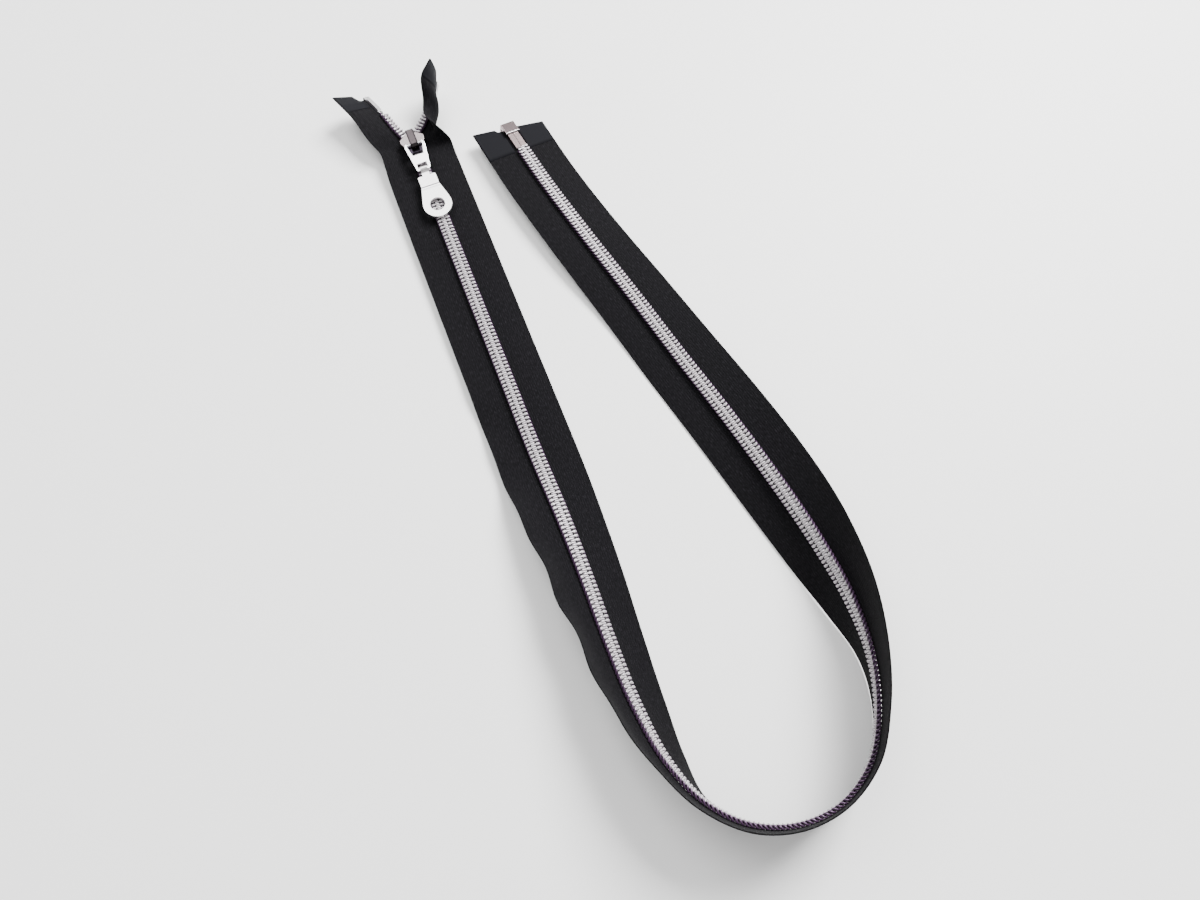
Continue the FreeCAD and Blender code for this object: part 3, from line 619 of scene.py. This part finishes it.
def wound(ribbon, start, end):
    shift = 0.0 if ribbon.side == LEFT else PITCH / 2
    count = int((end - start - shift) // PITCH)
    return np.vstack([LOOP + (start + shift + k * PITCH, 0, 0) for k in range(count)])


def flattened(width):
    """The filament is pressed wider along the chain between its head and its outer bend."""
    return np.interp(width, [0.35, 0.55, 1.15, 1.4, 2.4, 2.8], [1.05, 0.72, 0.72, 1.7, 1.6, 1.25])


COIL_GAP, THREAD_PAST = 0.1, 0.2
CORE_AT, CORE_RADIUS, CORE_STEP = 1.3, 0.24, 1.0
STITCH_ROWS, STITCH_RADIUS = (1.62, 2.12), 0.11
STITCH_MIDDLE, STITCH_DIP, STITCH_SWAY = LOOP_TOP - 0.02, 0.36, 0.06


def add_coil(side, ribbon):
    """One side's coil, with the cord inside it and the stitches that hold it to the tape."""
    name = NAMES[side]
    start = PIN_LONG + COIL_GAP + FILAMENT
    end = ribbon.long - STOP_BACK - STOP_LONG - COIL_GAP - FILAMENT
    loops = rods(ribbon, [wound(ribbon, start, end)], FILAMENT, 8, flattened, lambda ring: ring[..., 1:])
    finish_piece(mesh_object(f"{name}_coil_loops", *loops), "zipper", "coil", f"{name}_coil")

    s = np.arange(start - THREAD_PAST, end + THREAD_PAST, CORE_STEP)
    middle = np.full_like(s, (LOOP_TOP + LOOP_BASE) / 2)
    core = np.stack([s, np.full_like(s, CORE_AT), middle], -1)
    cord = mesh_object(f"{name}_twisted_cord", *rods(ribbon, [core], CORE_RADIUS, 8))
    finish_piece(cord, "zipper", "core_cord", f"{name}_core_cord")

    s = np.arange(start - THREAD_PAST, end + THREAD_PAST, PITCH / 8)
    phase = 2 * math.pi * ((s - start) / PITCH - (0.0 if side == LEFT else 0.5))
    height = STITCH_MIDDLE + STITCH_DIP * np.cos(phase)
    rows = [np.stack([s, w + STITCH_SWAY * np.sin(phase), height], -1) for w in STITCH_ROWS]
    stitches = mesh_object(f"{name}_stitch_rows", *rods(ribbon, rows, STITCH_RADIUS, 6))
    finish_piece(stitches, "zipper", "sewing_thread", f"{name}_sewing_threads")


for side, ribbon in ribbons.items():
    add_coil(side, ribbon)

# ------------------------------------------------------------------ metal nodes keep their CAD shape
BEVEL_STEPS, BEVEL_ANGLE = 3, 0.6

for node, slot, width in (
    ("insertion_pin", "end_metal", 0.25), ("retainer_pin", "end_metal", 0.25),
    ("left_top_stop", "stop_metal", 0.3), ("right_top_stop", "stop_metal", 0.3),
    ("retainer_box", "box", 0.25), ("slider_body", "slider_metal", 0.15),
    ("slider_crown", "crown_metal", 0.25), ("lock_leaf", "spring_steel", 0.05),
    ("puller_link", "puller_metal", 0.2), ("pull_tab", "tab_metal", 0.25),
):
    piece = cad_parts[node]
    piece.data.materials.clear()
    piece.data.materials.append(MATERIALS[slot])
    soft = piece.modifiers.new("edges", "BEVEL")
    soft.width, soft.segments = width * MM, BEVEL_STEPS
    soft.limit_method, soft.angle_limit = "ANGLE", BEVEL_ANGLE
    for polygon in piece.data.polygons:
        polygon.use_smooth = True
    smooth = piece.modifiers.new("normals", "WEIGHTED_NORMAL")
    smooth.keep_sharp = True

# ------------------------------------------------------------------ table, light and camera
def table_top():
    made, nodes, links, bsdf = material("table_top")
    tone = ramp(nodes, links, noise(nodes, 3.0, 2.0),
                [(0.3, (0.90, 0.90, 0.895)), (0.7, (0.93, 0.93, 0.925))])
    links.new(tone, bsdf.inputs["Base Color"])
    set_inputs(bsdf, Roughness=0.5)
    return made


TABLE_HALF = 6          # metres
table_corners = [(x * TABLE_HALF, y * TABLE_HALF, 0) for x, y in ((-1, -1), (1, -1), (1, 1), (-1, 1))]
floor = mesh_object("table_top", table_corners, [(0, 1, 2, 3)])
floor.data.materials.append(table_top())


def area_light(name, at, aim, size, power):
    data = bpy.data.lights.new(name, "AREA")
    data.shape, data.size, data.size_y = "RECTANGLE", size[0], size[1]
    data.energy = power
    made = bpy.data.objects.new(name, data)
    bpy.context.collection.objects.link(made)
    made.location = at
    made.rotation_euler = (Vector(aim) - Vector(at)).to_track_quat("-Z", "Y").to_euler()


area_light("window", at=(1.0, 0.6, 1.15), aim=(0, 0, 0), size=(0.75, 0.75), power=84)
area_light("ceiling", at=(-0.35, 1.1, 1.6), aim=(0, 0.1, 0), size=(1.0, 1.3), power=26)


def room():
    """A pale room with a dim band half way up, so that plated faces show light and dark."""
    world = bpy.data.worlds.new("room")
    world.use_nodes = True
    nodes, links = world.node_tree.nodes, world.node_tree.links
    split = nodes.new("ShaderNodeSeparateXYZ")
    links.new(nodes.new("ShaderNodeTexCoord").outputs["Generated"], split.inputs[0])
    tone = ramp(nodes, links, split.outputs[2],
                [(0.0, (0.80, 0.80, 0.80)), (0.16, (0.80, 0.80, 0.80)), (0.3, (0.22, 0.21, 0.22)),
                 (0.48, (0.22, 0.21, 0.22)), (0.75, (1.0, 1.0, 1.0))])
    links.new(tone, nodes["Background"].inputs["Color"])
    set_inputs(nodes["Background"], Strength=1.05)
    return world


bpy.context.scene.world = room()

CAMERA_AT, CAMERA_TILT, CAMERA_TURN = (-0.0529, -0.1205, 0.335), 18.2, -21.74
LENS, SENSOR = 27.0, 36.0

camera = bpy.data.objects.new("camera", bpy.data.cameras.new("camera"))
bpy.context.collection.objects.link(camera)
camera.location = CAMERA_AT
camera.rotation_euler = (math.radians(CAMERA_TILT), 0, math.radians(CAMERA_TURN))
camera.data.lens, camera.data.sensor_width = LENS, SENSOR
camera.data.clip_start = 0.01
bpy.context.scene.camera = camera
